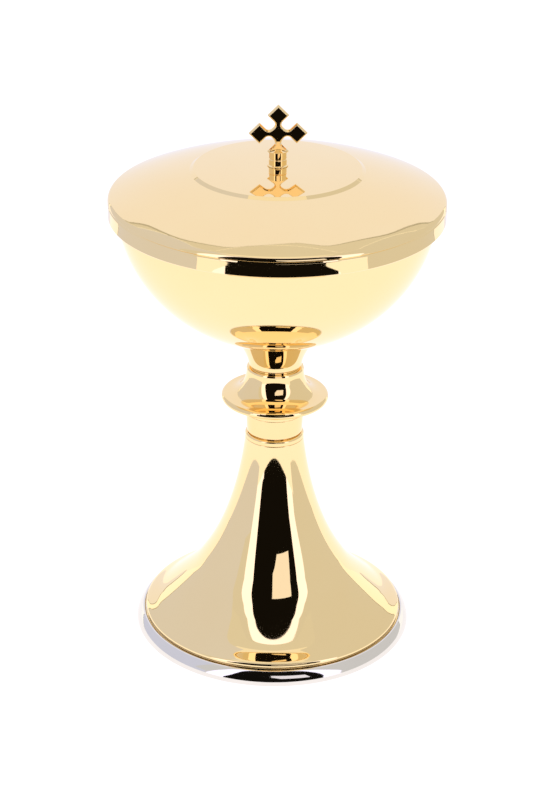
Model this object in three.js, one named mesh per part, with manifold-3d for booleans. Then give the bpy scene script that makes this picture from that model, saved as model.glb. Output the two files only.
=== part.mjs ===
// A covered ciborium: a gold-plated cup on a turned stem and trumpet foot, closed by a domed lid
// with a five-lozenge cross. Millimetres, +Z up, origin at the centre of the resting plane.
import * as THREE from "three";
import { mergeVertices } from "three/addons/utils/BufferGeometryUtils.js";
import Module from "manifold-3d";

// ---------- driving dimensions ----------
// Fits
const seatGap = 0.05; // between faces that rest on each other
const boreClearance = 0.35; // radial, between a rod and the pieces threaded on it
const threadClearance = 0.1; // radial, between a thread and its nut or blind hole
const formGap = 0.1; // between the bowl and the pieces brazed to its curve
const holeSlack = 0.4; // how far a blind hole goes on past the end of what it takes
const edgeBreak = 0.3; // small chamfer on a turned edge

// Silvered base ring
const ringOuterR = 60.15;
const ringHeight = 7.0;
const ringWaistZ = 2.6; // height of the widest circle
const ringWallR = 3.15; // how far the rounded outside stands out from the top lip
const ringUndercut = 2.15; // from the widest circle in to the edge of the flat underside
const ringSeatDepth = 0.7; // from the top lip down to the ledge the foot stands on
const ringLedgeWidth = 5.6;
const ringSection = 9.95; // whole width of the ring's section
const ringBoreChamfer = 1.2;
const footEdgeClearance = 0.9;

// Foot
const footTopZ = 90.6;
const footTopR = 12.6;
const footWall = 0.9;
const footRollWidth = 6.0; // rolled edge, measured across
const footRollRise = 1.35; // rolled edge, above its middle
const footRollDrop = 0.95; // rolled edge, below its middle
const footRollEndDeg = 148; // where the rolled edge runs into the channel behind it
const footChannelWidth = 0.7;
const footChannelRise = 0.65; // channel floor above the middle of the rolled edge
// Outside of the trumpet, from the channel up to just under the top: each point's share of the way
// from the top's radius out to the channel's, and its share of the height between them.
const trumpetFlare = [
  [1, 0],
  [0.927, 0.0115],
  [0.87, 0.042],
  [0.709, 0.146],
  [0.511, 0.272],
  [0.258, 0.509],
  [0.0925, 0.751],
  [0.019, 0.926],
];

// Stem
const rodR = 2.95;
const rodBelowNut = 3.5;
const rodIntoBoss = 6.8;
const topRingHeight = 2.3;
const topRingEdgeR = 0.9;
const lowerJointR = 11.1;
const lowerJointThickness = 0.4;
const collarHeight = 8.7;
const collarLowerR = 11.9;
const collarUpperR = 12.3;
const knopHeight = 21.1;
const knopBodyR = 12.2;
const knopRimR = 22.8;
const knopRimThickness = 1.5;
const knopRimHeight = 7.3; // middle of the rim above the knop's underside
const knopTopEdge = 0.7;
const upperJointR = 10.4;
const upperJointThickness = 0.8;
const neckFootR = 11.35;
const neckFootEdge = 0.6;
const neckFlarePower = 1.5; // the neck widens with this power of the height
const neckHeadR = 18.6;

// Fastening under the foot
const clampWasherClearance = 1.1; // radial, inside the top of the foot
const clampWasherThickness = 2.4;
const lockWasherR = 5.3;
const lockWasherThickness = 1.4;
const lockWasherSplit = 1.2;
const nutAcrossFlats = 10.0;
const nutHeight = 5.2;

// Bowl
const neckToBowlBottom = 12.2; // neck underside to the bowl's lowest point
const bowlR = 66.6;
const bowlDepth = 62.75; // lowest point to the widest circle
const bowlWall = 1.1;
const lipBelowEquator = 2.2;
const bossR = 8.0;
const bossHeight = 8.6;

// Lid
const lidOverhang = 3.0; // band radius beyond the bowl's
const bandHeight = 6.6;
const bandBelly = 0.2; // how far the band is hollowed at mid height
const bandEdge = 0.45;
const bandInnerClearance = 0.6;
const shelfThickness = 1.2;
const ledgeWidth = 0.55; // light catching ledge between band and dome
const ledgeDrop = 0.7;
const sleeveClearance = 0.4; // radial, to the bowl's inside at the bottom of the ring
const sleeveWall = 1.0;
const sleeveDrop = 8.0;
const lidWall = 0.9;
const shoulderR = 2.0;
const shoulderStand = 0.2; // straight wall under the rounded shoulder
const domeR = 170.0; // radius of the sphere the dome is part of
const platformR = 36.0;
const platformBevel = 1.6;
const platformRise = 2.0;

// Finial
const postR = 3.7;
const postHeight = 6.2;
const postCapRise = 1.3;
const postFlangeR = 4.3;
const postFlangeHeight = 0.6;
const postGroove = 0.25;
const postGrooveHalf = 0.35;
const postCapR = 1.2;
const slotClearance = 0.15;
const crossTurn = THREE.MathUtils.degToRad(3);
const crossThickness = 2.6;
const crossBevel = 0.8;
const lozengeHalf = 4.4; // centre to corner
const lozengePitch = 7.6; // centre to centre
const notchRadius = 2.3; // rounded notch between two lozenges
const tenonDrop = 2.3; // lowest lozenge is cut flat this far below its centre
const studR = 1.95;
const studBelowNut = 1.4;
const studIntoPost = 2.3;
const finialWasherR = 6.5;
const finialWasherThickness = 1.0;
const finialLockR = 3.6;
const finialLockThickness = 0.9;
const finialLockSplit = 0.8;
const finialNutFlats = 7.0;
const finialNutHeight = 3.2;

// Roundness of the turned pieces
const wideSides = 40;
const stemSides = 28;
const smallSides = 20;
const holeSides = 24;

// ---------- levels that follow from the sizes above ----------
const boreR = rodR + boreClearance;
const ringLipR = ringOuterR - ringWallR;
const ringLedgeZ = ringHeight - ringSeatDepth;
const footEdgeR = ringLipR - footEdgeClearance;
const footRollZ = ringLedgeZ + seatGap + footRollDrop;
const clampWasherR = footTopR - footWall - clampWasherClearance;
const topRingZ = footTopZ + seatGap;
const lowerJointZ = topRingZ + topRingHeight + seatGap;
const collarZ = lowerJointZ + lowerJointThickness + seatGap;
const knopZ = collarZ + collarHeight + seatGap;
const upperJointZ = knopZ + knopHeight + seatGap;
const neckZ = upperJointZ + upperJointThickness + seatGap;
const bowlBottomZ = neckZ + neckToBowlBottom;
const bossBottomZ = bowlBottomZ - formGap - bossHeight;
const equatorZ = bowlBottomZ + bowlDepth;
const lipZ = equatorZ - lipBelowEquator;
const bandR = bowlR + lidOverhang;
const shelfZ = lipZ + 2 * seatGap;
const bandTopZ = shelfZ + shelfThickness;
const sleeveBottomZ = shelfZ - sleeveDrop;
const sleeveR = bowlInsideR(sleeveBottomZ) - sleeveClearance;
const shoulderZ = bandTopZ + seatGap + shoulderStand;
const platformTopZ = domeZ(platformR) + platformRise;
const postBottomZ = platformTopZ + seatGap;
const postTopZ = postBottomZ + postHeight;
const slotHalf = crossThickness / 2 + slotClearance;

// ---------- profile helpers ----------
// Points of an elliptical arc, angles in degrees from the outward direction towards +Z.
function arc(centreR, centreZ, radiusR, radiusZ, fromDeg, toDeg, steps) {
  return Array.from({ length: steps + 1 }, (_, i) => {
    const angle = THREE.MathUtils.degToRad(fromDeg + ((toDeg - fromDeg) * i) / steps);
    return [centreR + radiusR * Math.cos(angle), centreZ + radiusZ * Math.sin(angle)];
  });
}

// The same line moved sideways: to its left as it is walked for a positive distance.
function offsetLine(points, distance) {
  return points.map(([r, z], i) => {
    const before = points[Math.max(i - 1, 0)];
    const after = points[Math.min(i + 1, points.length - 1)];
    const along = new THREE.Vector2(after[0] - before[0], after[1] - before[1]).normalize();
    return [r - along.y * distance, z + along.x * distance];
  });
}

// Smooth line through a few points.
function smooth(points, steps) {
  const curve = new THREE.SplineCurve(points.map(([r, z]) => new THREE.Vector2(r, z)));
  return curve.getSpacedPoints(steps).map((p) => [p.x, p.y]);
}

// Twice the signed area inside a closed outline.
function signedArea(points) {
  return points.reduce((sum, [r, z], i) => {
    const [nextR, nextZ] = points[(i + 1) % points.length];
    return sum + r * nextZ - nextR * z;
  }, 0);
}

// A body of revolution about +Z from the outline of its section, given in either direction.
function revolve(outline, sides) {
  const points = signedArea(outline) > 0 ? [...outline] : [...outline].reverse();
  const onAxis = points.findIndex(([r]) => r === 0);
  if (onAxis >= 0) {
    const turns = points.length;
    const start = points.findIndex(([r], i) => r === 0 && points[(i + turns - 1) % turns][0] === 0);
    points.push(...points.splice(0, start));
  } else {
    points.push(points[0]);
  }
  const section = points.map(([r, z]) => new THREE.Vector2(r, z));
  return new THREE.LatheGeometry(section, sides).rotateX(Math.PI / 2);
}

// A flat plate with an outline in the XY plane, standing on the given height.
function plate(shape, bottomZ, thickness) {
  const flat = new THREE.ExtrudeGeometry(shape, {
    depth: thickness,
    bevelEnabled: false,
    curveSegments: holeSides,
  });
  return flat.translate(0, 0, bottomZ);
}

// ---------- materials ----------
const finishes = {
  gold: { color: 0xe6c27a, roughness: 0.06, metalness: 1.0 },
  silver: { color: 0xd2cdc6, roughness: 0.06, metalness: 1.0 },
  brass: { color: 0xb08d4a, roughness: 0.35, metalness: 1.0 },
  steel: { color: 0x9a9c9e, roughness: 0.3, metalness: 1.0 },
};

function piece(name, geometry, finish) {
  const mesh = new THREE.Mesh(geometry, new THREE.MeshStandardMaterial(finishes[finish]));
  mesh.name = name;
  return mesh;
}

// ---------- booleans ----------
const wasm = await Module();
wasm.setup();

function solidOf(geometry) {
  const bare = geometry.clone();
  bare.deleteAttribute("normal");
  bare.deleteAttribute("uv");
  const merged = mergeVertices(bare, 1e-4);
  return new wasm.Manifold(
    new wasm.Mesh({
      numProp: 3,
      vertProperties: new Float32Array(merged.attributes.position.array),
      triVerts: new Uint32Array(merged.index.array),
    }),
  );
}

function geometryOf(solid) {
  const mesh = solid.getMesh();
  const geometry = new THREE.BufferGeometry();
  geometry.setAttribute("position", new THREE.BufferAttribute(mesh.vertProperties, 3));
  geometry.setIndex(new THREE.BufferAttribute(mesh.triVerts, 1));
  geometry.computeVertexNormals();
  return geometry;
}

// ---------- shared shapes ----------
// Height of a half-ellipse cup's outside at a radius.
function bowlOutsideZ(radius) {
  return equatorZ - bowlDepth * Math.sqrt(1 - (radius / bowlR) ** 2);
}

// Radius of the cup's inside at a height.
function bowlInsideR(height) {
  const below = (equatorZ - height) / (bowlDepth - bowlWall);
  return (bowlR - bowlWall) * Math.sqrt(1 - below ** 2);
}

// Points along the bowl's outside, moved down by the brazing gap, from one radius to another.
function alongBowl(fromR, toR, steps) {
  return Array.from({ length: steps + 1 }, (_, i) => {
    const radius = fromR + ((toR - fromR) * i) / steps;
    return [radius, bowlOutsideZ(radius) - formGap];
  });
}

function washer(holeR, outerR, bottomZ, thickness, sides) {
  const outline = [
    [holeR, bottomZ],
    [outerR, bottomZ],
    [outerR, bottomZ + thickness],
    [holeR, bottomZ + thickness],
  ];
  return revolve(outline, sides);
}

// Spring lock washer: a flat ring with one cut through it.
function splitWasher(holeR, outerR, split, bottomZ, thickness) {
  const outerHalf = Math.asin(split / 2 / outerR);
  const innerHalf = Math.asin(split / 2 / holeR);
  const shape = new THREE.Shape();
  shape.absarc(0, 0, outerR, outerHalf, 2 * Math.PI - outerHalf, false);
  shape.absarc(0, 0, holeR, 2 * Math.PI - innerHalf, innerHalf, true);
  return plate(shape, bottomZ, thickness);
}

function hexNut(holeR, acrossFlats, bottomZ, height) {
  const cornerR = acrossFlats / Math.sqrt(3);
  const corners = Array.from({ length: 6 }, (_, i) => {
    const angle = (i * Math.PI) / 3;
    return new THREE.Vector2(cornerR * Math.cos(angle), cornerR * Math.sin(angle));
  });
  const shape = new THREE.Shape(corners);
  shape.holes.push(new THREE.Path().absarc(0, 0, holeR, 0, 2 * Math.PI, true));
  return plate(shape, bottomZ, height);
}

// Round bar with both ends chamfered by a quarter of its radius.
function chamferedBar(radius, bottomZ, topZ, sides) {
  const chamfer = radius / 4;
  const outline = [
    [0, bottomZ],
    [radius - chamfer, bottomZ],
    [radius, bottomZ + chamfer],
    [radius, topZ - chamfer],
    [radius - chamfer, topZ],
    [0, topZ],
  ];
  return revolve(outline, sides);
}

// ---------- base and foot ----------
function baseRing() {
  const footCos = (ringWallR - ringUndercut) / ringWallR;
  const footDeg = THREE.MathUtils.radToDeg(Math.acos(footCos));
  const lowerRadiusZ = ringWaistZ / Math.sqrt(1 - footCos ** 2);
  const ringBoreR = ringOuterR - ringSection;
  const outline = [
    ...arc(ringLipR, ringWaistZ, ringWallR, lowerRadiusZ, -footDeg, 0, 4),
    ...arc(ringLipR, ringWaistZ, ringWallR, ringHeight - ringWaistZ, 0, 90, 6).slice(1),
    [ringLipR - edgeBreak, ringHeight],
    [ringLipR - 2 * edgeBreak, ringLedgeZ],
    [ringLipR - ringLedgeWidth, ringLedgeZ],
    [ringBoreR, ringLedgeZ - ringBoreChamfer],
    [ringBoreR, 0],
  ];
  return revolve(outline, wideSides);
}

function footShell() {
  const rollR = footEdgeR - footRollWidth / 2;
  const rollHalf = footRollWidth / 2;
  const channelR = footEdgeR - footRollWidth - footChannelWidth;
  const channelZ = footRollZ + footChannelRise;
  const flare = trumpetFlare.map(([outward, upward]) => [
    footTopR + outward * (channelR - footTopR),
    channelZ + upward * (footTopZ - channelZ),
  ]);
  const trumpet = smooth(flare, 15);
  const inside = offsetLine(trumpet, footWall).reverse();
  const outline = [
    ...arc(rollR, footRollZ, rollHalf, footRollRise, 0, footRollEndDeg, 6),
    ...trumpet,
    [footTopR, footTopZ - edgeBreak],
    [footTopR - edgeBreak, footTopZ],
    [boreR, footTopZ],
    [boreR, footTopZ - footWall],
    [footTopR - footWall - edgeBreak, footTopZ - footWall],
    ...inside,
    [rollR - rollHalf, footRollZ - footRollDrop],
    ...arc(rollR, footRollZ, rollHalf, footRollDrop, -65, -15, 3),
  ];
  return revolve(outline, wideSides);
}

function footTopRing() {
  const topZ = topRingZ + topRingHeight;
  const edge = arc(footTopR - topRingEdgeR, topZ - topRingEdgeR, topRingEdgeR, topRingEdgeR, 0, 90, 4);
  const outline = [
    [boreR, topRingZ],
    [footTopR - edgeBreak, topRingZ],
    [footTopR, topRingZ + edgeBreak],
    ...edge,
    [boreR, topZ],
  ];
  return revolve(outline, stemSides);
}

function buildFoot() {
  const clampZ = footTopZ - footWall - seatGap - clampWasherThickness;
  const lockZ = clampZ - seatGap - lockWasherThickness;
  const nutZ = lockZ - seatGap - nutHeight;
  const nutHoleR = rodR + threadClearance;
  const clampWasher = washer(boreR, clampWasherR, clampZ, clampWasherThickness, stemSides);
  const lockWasher = splitWasher(boreR, lockWasherR, lockWasherSplit, lockZ, lockWasherThickness);
  const rod = chamferedBar(rodR, nutZ - rodBelowNut, bossBottomZ + rodIntoBoss, smallSides);
  const group = new THREE.Group();
  group.add(
    piece("base_ring", baseRing(), "silver"),
    piece("foot_shell", footShell(), "gold"),
    piece("foot_top_ring", footTopRing(), "gold"),
    piece("foot_clamp_washer", clampWasher, "brass"),
    piece("foot_lock_washer", lockWasher, "steel"),
    piece("foot_nut", hexNut(nutHoleR, nutAcrossFlats, nutZ, nutHeight), "steel"),
    piece("tie_rod", rod, "steel"),
  );
  return group;
}

// ---------- stem ----------
function lowerCollar() {
  const outline = [
    [boreR, collarZ],
    [collarLowerR - edgeBreak, collarZ],
    [collarLowerR, collarZ + edgeBreak],
    [collarUpperR, collarZ + collarHeight],
    [boreR, collarZ + collarHeight],
  ];
  return revolve(outline, stemSides);
}

function knop() {
  const rimRound = knopRimThickness / 2;
  const rimR = knopRimR - rimRound;
  const rimZ = knopZ + knopRimHeight;
  const topZ = knopZ + knopHeight;
  const coveTopZ = topZ - knopTopEdge;
  const outline = [
    [boreR, knopZ],
    ...arc(rimR, knopZ, rimR - collarUpperR, rimZ - rimRound - knopZ, 180, 90, 6),
    ...arc(rimR, rimZ, rimRound, rimRound, -60, 60, 4),
    ...arc(rimR, coveTopZ, rimR - knopBodyR, coveTopZ - rimZ - rimRound, 270, 180, 9),
    [knopBodyR - knopTopEdge / 2, topZ],
    [boreR, topZ],
  ];
  return revolve(outline, stemSides);
}

function neckCollar() {
  const flareZ = neckZ + neckFootEdge;
  const seatZ = bowlOutsideZ(neckHeadR) - formGap;
  const steps = 7;
  const flareScale = (neckHeadR - neckFootR) / (seatZ - flareZ) ** neckFlarePower;
  const flare = Array.from({ length: steps + 1 }, (_, i) => {
    const height = ((seatZ - flareZ) * i) / steps;
    return [neckFootR + flareScale * height ** neckFlarePower, flareZ + height];
  });
  const socketR = bossR + holeSlack;
  const outline = [
    [boreR, neckZ],
    [neckFootR - neckFootEdge, neckZ],
    ...flare,
    ...alongBowl(neckHeadR, socketR, 4).slice(1),
    [socketR, bossBottomZ - holeSlack],
    [boreR, bossBottomZ - holeSlack],
  ];
  return revolve(outline, stemSides);
}

function bowlBoss() {
  const holeR = rodR + threadClearance;
  const holeTopZ = bossBottomZ + rodIntoBoss + holeSlack;
  const outline = [
    [holeR, bossBottomZ],
    [bossR, bossBottomZ],
    ...alongBowl(bossR, 0, 4),
    [0, holeTopZ],
    [holeR, holeTopZ],
  ];
  return revolve(outline, smallSides);
}

function buildStem() {
  const group = new THREE.Group();
  const lowerJoint = washer(boreR, lowerJointR, lowerJointZ, lowerJointThickness, stemSides);
  const upperJoint = washer(boreR, upperJointR, upperJointZ, upperJointThickness, stemSides);
  group.add(
    piece("lower_joint_washer", lowerJoint, "brass"),
    piece("lower_collar", lowerCollar(), "gold"),
    piece("knop", knop(), "gold"),
    piece("upper_joint_washer", upperJoint, "brass"),
    piece("neck_collar", neckCollar(), "gold"),
    piece("bowl_boss", bowlBoss(), "brass"),
  );
  return group;
}

// ---------- bowl ----------
function bowlShell() {
  const lipDeg = -THREE.MathUtils.radToDeg(Math.asin(lipBelowEquator / bowlDepth));
  const steps = 13;
  const outside = arc(0, equatorZ, bowlR, bowlDepth, -90, lipDeg, steps);
  const inside = arc(0, equatorZ, bowlR - bowlWall, bowlDepth - bowlWall, lipDeg, -90, steps);
  outside[0][0] = 0;
  inside[steps][0] = 0;
  const lip = [bowlR - bowlWall / 2, lipZ];
  const outline = [...outside.slice(0, steps), [bowlR, lipZ - bowlWall / 3], lip, ...inside];
  return revolve(outline, wideSides);
}

// ---------- lid ----------
// The dome's outside: a part of a sphere that passes through the foot of the platform.
function domeZ(radius) {
  const rise = Math.sqrt(domeR ** 2 - radius ** 2);
  const edgeRadius = bandR - shoulderR * (1 - Math.sin(shoulderSlope()));
  const edgeZ = shoulderZ + shoulderR * Math.cos(shoulderSlope());
  return edgeZ + rise - Math.sqrt(domeR ** 2 - edgeRadius ** 2);
}

// Slope of the dome where the rounded shoulder takes over.
function shoulderSlope() {
  return Math.asin((bandR - shoulderR) / (domeR - shoulderR));
}

function lidShell() {
  const slope = THREE.MathUtils.radToDeg(shoulderSlope());
  const shoulder = arc(bandR - shoulderR, shoulderZ, shoulderR, shoulderR, 0, 90 - slope, 4);
  const edgeR = shoulder[4][0];
  const domeSteps = 7;
  const dome = Array.from({ length: domeSteps }, (_, i) => {
    const radius = edgeR + ((platformR - edgeR) * (i + 1)) / domeSteps;
    return [radius, domeZ(radius)];
  });
  const outside = [...shoulder, ...dome, [platformR - platformBevel, platformTopZ]];
  const inside = offsetLine(outside, lidWall).reverse();
  const holeR = studR + threadClearance;
  const outline = [
    [bandR - ledgeWidth, bandTopZ + seatGap],
    ...outside,
    [holeR, platformTopZ],
    [holeR, platformTopZ - lidWall],
    [platformR - platformBevel - lidWall, platformTopZ - lidWall],
    ...inside.slice(1),
    [bandR - ledgeWidth - lidWall, bandTopZ + seatGap],
  ];
  return revolve(outline, wideSides);
}

function lidBand() {
  const bottomZ = bandTopZ - bandHeight;
  const innerR = bowlR + bandInnerClearance;
  const outline = [
    [innerR, bottomZ],
    [bandR - bandEdge, bottomZ],
    [bandR, bottomZ + bandEdge],
    [bandR - bandBelly, bottomZ + bandHeight / 2],
    [bandR - bandBelly / 2, bandTopZ - ledgeDrop],
    [bandR - ledgeWidth, bandTopZ],
    [sleeveR + seatGap, bandTopZ],
    [sleeveR + seatGap, shelfZ],
    [innerR, shelfZ],
  ];
  return revolve(outline, wideSides);
}

function lidLocatingRing() {
  const outline = [
    [sleeveR - sleeveWall, sleeveBottomZ],
    [sleeveR - edgeBreak, sleeveBottomZ],
    [sleeveR, sleeveBottomZ + 2 * edgeBreak],
    [sleeveR, bandTopZ],
    [sleeveR - sleeveWall, bandTopZ],
  ];
  return revolve(outline, wideSides);
}

// ---------- finial ----------
// Five lozenges in a cross, joined at rounded notches; the lowest is cut flat for the post's slot.
function crossOutline(centreZ) {
  const notchCentre = lozengePitch / 2;
  const notchRise = lozengeHalf - notchCentre + notchRadius * Math.SQRT2;
  const rounded = arc(notchCentre, notchRise, notchRadius, notchRadius, 315, 225, 6);
  const arm = [
    ...rounded.map(([along, across]) => [along, -across]).reverse(),
    [lozengePitch, -lozengeHalf],
    [lozengePitch + lozengeHalf, 0],
    [lozengePitch, lozengeHalf],
    ...rounded,
  ];
  const tenonHalf = lozengeHalf - tenonDrop;
  const lowerArm = [
    ...rounded.map(([along, across]) => [along, -across]).reverse(),
    [lozengePitch, -lozengeHalf],
    [lozengePitch + tenonDrop, -tenonHalf],
    [lozengePitch + tenonDrop, tenonHalf],
    [lozengePitch, lozengeHalf],
    ...rounded,
  ];
  const points = [arm, arm, arm, lowerArm].flatMap((side, quarter) => {
    const angle = (quarter * Math.PI) / 2;
    const cos = Math.round(Math.cos(angle));
    const sin = Math.round(Math.sin(angle));
    return side.map(([u, v]) => new THREE.Vector2(u * cos - v * sin, centreZ + u * sin + v * cos));
  });
  return new THREE.Shape(points);
}

function finialCross() {
  const straight = crossThickness - 2 * crossBevel;
  const body = new THREE.ExtrudeGeometry(crossOutline(postTopZ + lozengePitch), {
    depth: straight,
    bevelEnabled: true,
    bevelThickness: crossBevel,
    bevelSize: crossBevel,
    bevelOffset: -crossBevel,
    bevelSegments: 1,
  });
  return body.translate(0, 0, -straight / 2).rotateX(Math.PI / 2);
}

// Turned post with a flange, a groove round its middle and a coned top, slotted for the cross.
function finialPost() {
  const grooveZ = postBottomZ + postHeight / 2;
  const boreTopZ = postBottomZ + studIntoPost + holeSlack;
  const holeR = studR + threadClearance;
  const capZ = postTopZ + postCapRise;
  const outline = [
    [holeR, postBottomZ],
    [postFlangeR, postBottomZ],
    [postFlangeR, postBottomZ + postFlangeHeight / 2],
    [postR, postBottomZ + postFlangeHeight],
    [postR, grooveZ - postGrooveHalf],
    [postR - postGroove, grooveZ],
    [postR, grooveZ + postGrooveHalf],
    [postR, postTopZ],
    [postCapR, capZ],
    [0, capZ],
    [0, boreTopZ],
    [holeR, boreTopZ],
  ];
  const slotFloorZ = postTopZ - tenonDrop - slotClearance;
  const slotHeight = 2 * postHeight;
  const slot = new THREE.BoxGeometry(4 * postR, 2 * slotHalf, slotHeight);
  slot.translate(0, 0, slotFloorZ + slotHeight / 2);
  return geometryOf(solidOf(revolve(outline, smallSides)).subtract(solidOf(slot)));
}

function buildFinial() {
  const holeR = studR + threadClearance;
  const washerZ = platformTopZ - lidWall - seatGap - finialWasherThickness;
  const lockZ = washerZ - seatGap - finialLockThickness;
  const nutZ = lockZ - seatGap - finialNutHeight;
  const plainWasher = washer(holeR, finialWasherR, washerZ, finialWasherThickness, smallSides);
  const lockWasher = splitWasher(holeR, finialLockR, finialLockSplit, lockZ, finialLockThickness);
  const stud = chamferedBar(studR, nutZ - studBelowNut, postBottomZ + studIntoPost, smallSides);
  const turned = new THREE.Group();
  turned.rotation.z = crossTurn;
  turned.add(
    piece("finial_post", finialPost(), "gold"),
    piece("finial_cross", finialCross(), "gold"),
  );
  const group = new THREE.Group();
  group.add(
    turned,
    piece("finial_stud", stud, "brass"),
    piece("finial_washer", plainWasher, "brass"),
    piece("finial_lock_washer", lockWasher, "steel"),
    piece("finial_nut", hexNut(holeR, finialNutFlats, nutZ, finialNutHeight), "brass"),
  );
  return group;
}

function buildLid() {
  const group = new THREE.Group();
  group.add(
    piece("lid_shell", lidShell(), "gold"),
    piece("lid_band", lidBand(), "gold"),
    piece("lid_locating_ring", lidLocatingRing(), "gold"),
    buildFinial(),
  );
  return group;
}

const ciborium = new THREE.Group();
ciborium.add(buildFoot(), buildStem(), piece("bowl_shell", bowlShell(), "gold"), buildLid());

export default ciborium;
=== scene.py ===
"""A covered ciborium: gold-plated cup, stem and foot, silvered base ring, domed lid with a cross.

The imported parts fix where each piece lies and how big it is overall. Each sub-assembly class holds the
finer sizes of its own pieces in millimetres, and a piece becomes metres when its mesh is made. Some
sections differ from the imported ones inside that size, the foot's low skirt by up to 6 mm in height.
Turned and spun pieces are revolved from their section by one Geometry Nodes tree; threads and hexagon
flats are cut by two more.
"""

import logging
import math
from collections.abc import Callable, Sequence
from dataclasses import dataclass, field
from enum import Enum
from typing import Any

import bmesh
import bpy
from mathutils import Matrix, Vector


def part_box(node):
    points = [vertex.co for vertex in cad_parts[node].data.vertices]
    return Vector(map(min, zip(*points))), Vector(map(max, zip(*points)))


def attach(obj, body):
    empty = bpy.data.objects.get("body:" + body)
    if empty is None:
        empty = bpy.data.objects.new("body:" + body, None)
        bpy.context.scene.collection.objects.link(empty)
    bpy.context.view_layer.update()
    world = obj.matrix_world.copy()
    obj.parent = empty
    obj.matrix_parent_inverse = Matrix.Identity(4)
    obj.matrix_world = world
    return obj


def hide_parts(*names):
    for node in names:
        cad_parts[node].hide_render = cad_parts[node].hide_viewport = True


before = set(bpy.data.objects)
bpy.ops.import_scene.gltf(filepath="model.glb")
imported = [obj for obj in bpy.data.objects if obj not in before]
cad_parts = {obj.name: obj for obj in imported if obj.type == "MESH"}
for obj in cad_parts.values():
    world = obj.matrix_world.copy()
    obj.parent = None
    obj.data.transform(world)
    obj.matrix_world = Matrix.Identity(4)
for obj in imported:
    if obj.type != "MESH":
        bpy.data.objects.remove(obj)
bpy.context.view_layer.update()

log = logging.getLogger("ciborium")

MM = 0.001
FULL_TURN = 2 * math.pi

Point = tuple[float, float]
Light = tuple[float, float, float]


class Body(Enum):
    """The two bodies that move apart: the standing vessel and the lid that lifts off it."""

    VESSEL = "vessel"
    LID = "lid"


class Slot(Enum):
    """The record's material slots."""

    GOLD = "gold_plate"
    SILVER = "silver_plate"
    BRASS = "turned_brass"
    STEEL = "fastener_steel"


class Sides(Enum):
    """How finely a turned piece is divided round its axis."""

    WIDE = 256
    STEM = 176
    FASTENER = 96


# ---------- nodes ----------
def add(
    tree: bpy.types.NodeTree,
    kind: str,
    settings: dict[str, Any] | None = None,
    inputs: dict[str | int, Any] | None = None,
) -> bpy.types.Node:
    """Adds a node to a tree with its settings and links.

    Args:
        tree: The node tree that the node joins.
        kind: Blender's identifier of the node.
        settings: Properties to set on the node.
        inputs: For an input's name or number, the socket linked to it or its plain value.

    Returns:
        The new node.
    """
    made = tree.nodes.new(kind)
    for name, value in (settings or {}).items():
        setattr(made, name, value)
    for key, value in (inputs or {}).items():
        if isinstance(value, bpy.types.NodeSocket):
            tree.links.new(value, made.inputs[key])
        else:
            made.inputs[key].default_value = value
    return made


def linear(code: str, alpha: float = 1.0) -> tuple[float, float, float, float]:
    """Turns an sRGB hex colour into linear light.

    Args:
        code: Six hex digits after a hash sign.
        alpha: The fourth value.

    Returns:
        Linear red, green, blue and alpha.
    """
    channels = [int(code[i : i + 2], 16) / 255 for i in (1, 3, 5)]
    light = [c / 12.92 if c <= 0.04045 else ((c + 0.055) / 1.055) ** 2.4 for c in channels]
    return (light[0], light[1], light[2], alpha)


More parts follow.
